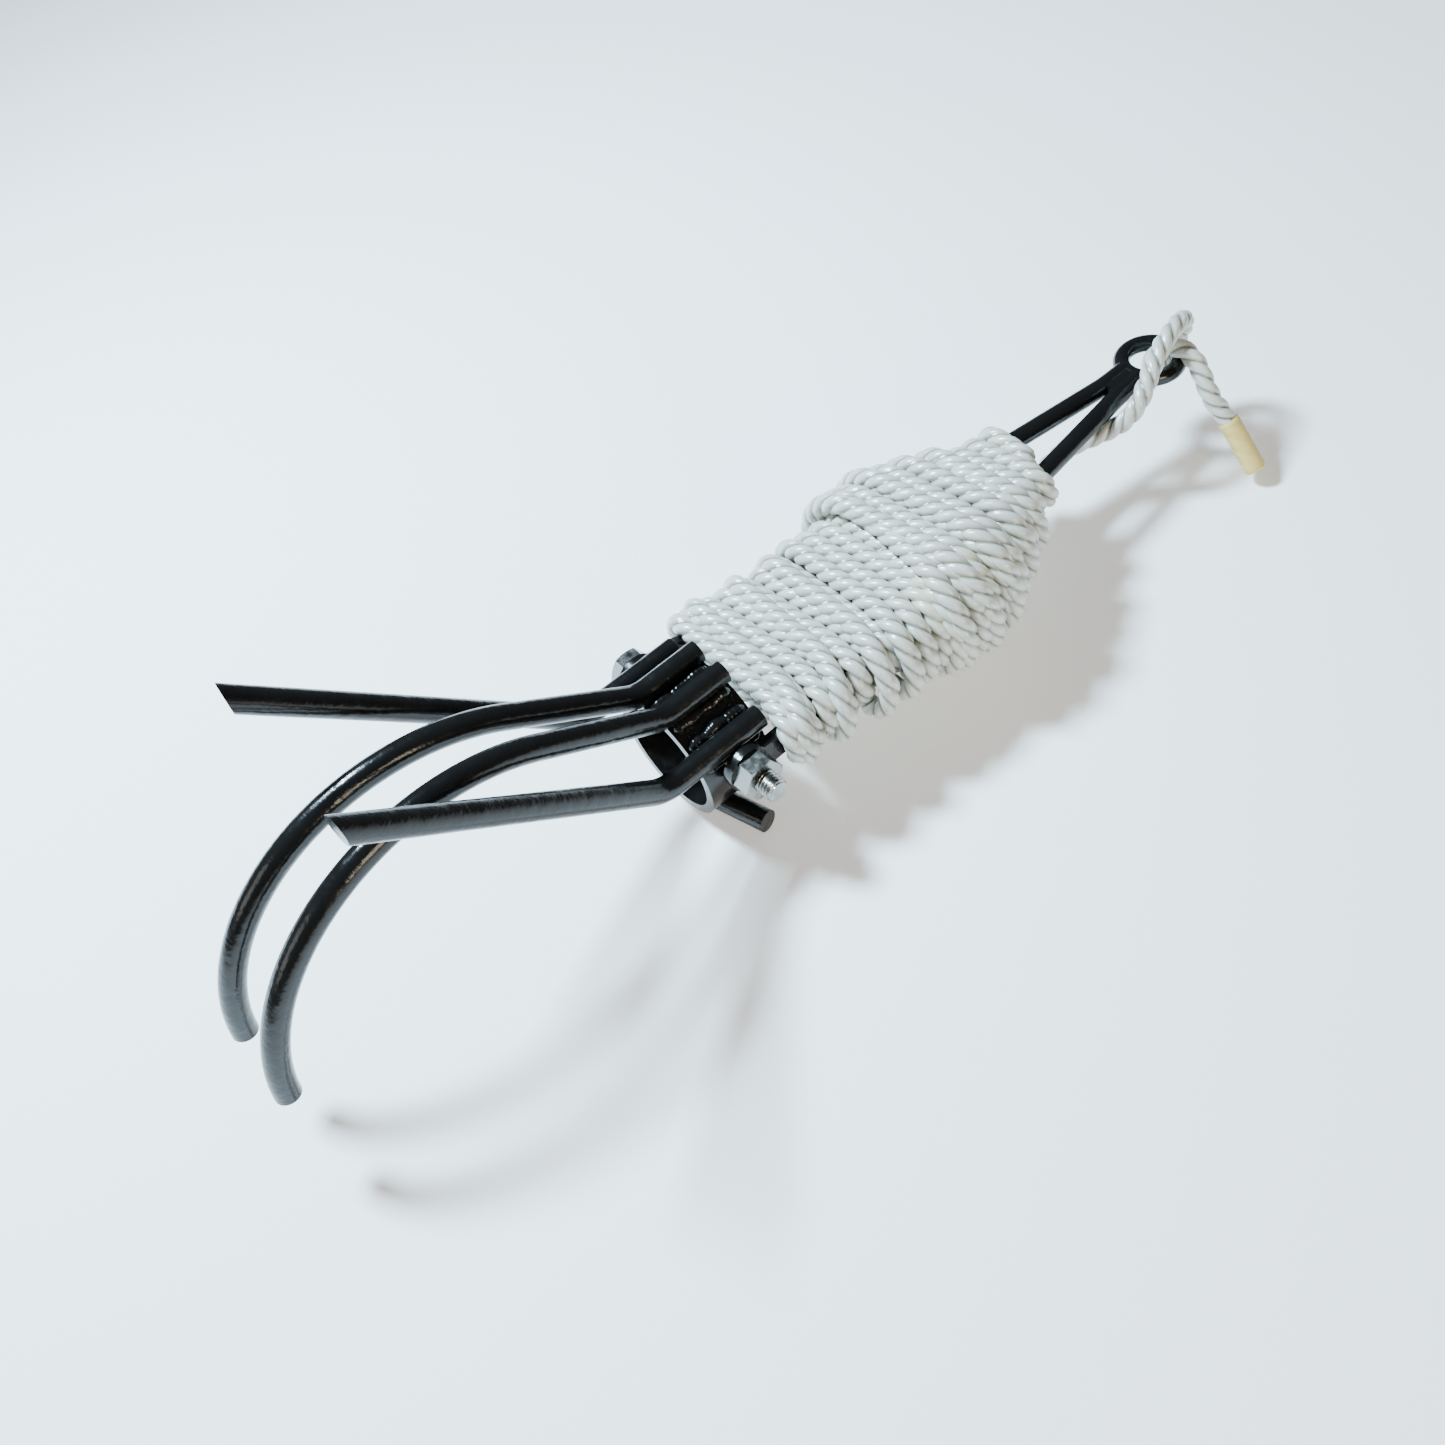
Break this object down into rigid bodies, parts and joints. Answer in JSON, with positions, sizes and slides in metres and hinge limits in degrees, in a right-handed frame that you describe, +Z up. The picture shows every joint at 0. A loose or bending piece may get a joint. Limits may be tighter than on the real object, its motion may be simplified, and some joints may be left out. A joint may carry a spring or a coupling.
{
  "type": "folding grapnel anchor",
  "caption": "Welded steel grapnel with straight and hooked tines on a tube crown that swings on a bolt between two shank legs, its line wound round the shank",
  "frame": {"origin": "centre of the eye ring at the end of the shank", "axes": "+X from the crown to the eye along the shank, +Y to the anchor's left, along the pivot bolt towards its head, +Z up, square to the plane of the two legs"},
  "size_m": [0.4065, 0.0837, 0.1328],
  "materials": {
    "black_paint": "gloss",
    "zinc": "zinc plated",
    "line": "twisted nylon",
    "tape": "cloth tape"
  },
  "bodies": {
    "shank": {"leg_left": "black_paint", "leg_right": "black_paint", "eye_ring": "black_paint", "weld_neck": "black_paint", "pivot_bolt": "zinc", "pivot_nut": "zinc", "rope_coil": "line", "rope_run": "line", "rope_end_tape": "tape"},
    "claw": {"hub_tube": "black_paint", "tine_inner_left": "black_paint", "tine_inner_right": "black_paint", "tine_outer_left": "black_paint", "tine_outer_right": "black_paint", "weld_inner_left": "black_paint", "weld_inner_right": "black_paint", "weld_outer_left": "black_paint", "weld_outer_right": "black_paint", "stop_bar": "black_paint", "weld_stop_bar": "black_paint"}
  },
  "joints": [
    {"name": "claw_pivot", "type": "hinge", "parent": "shank", "child": "claw", "pos_m": [-0.22, 0, 0], "axis": [0, 1, 0], "range_deg": [-12, 9]}
  ]
}
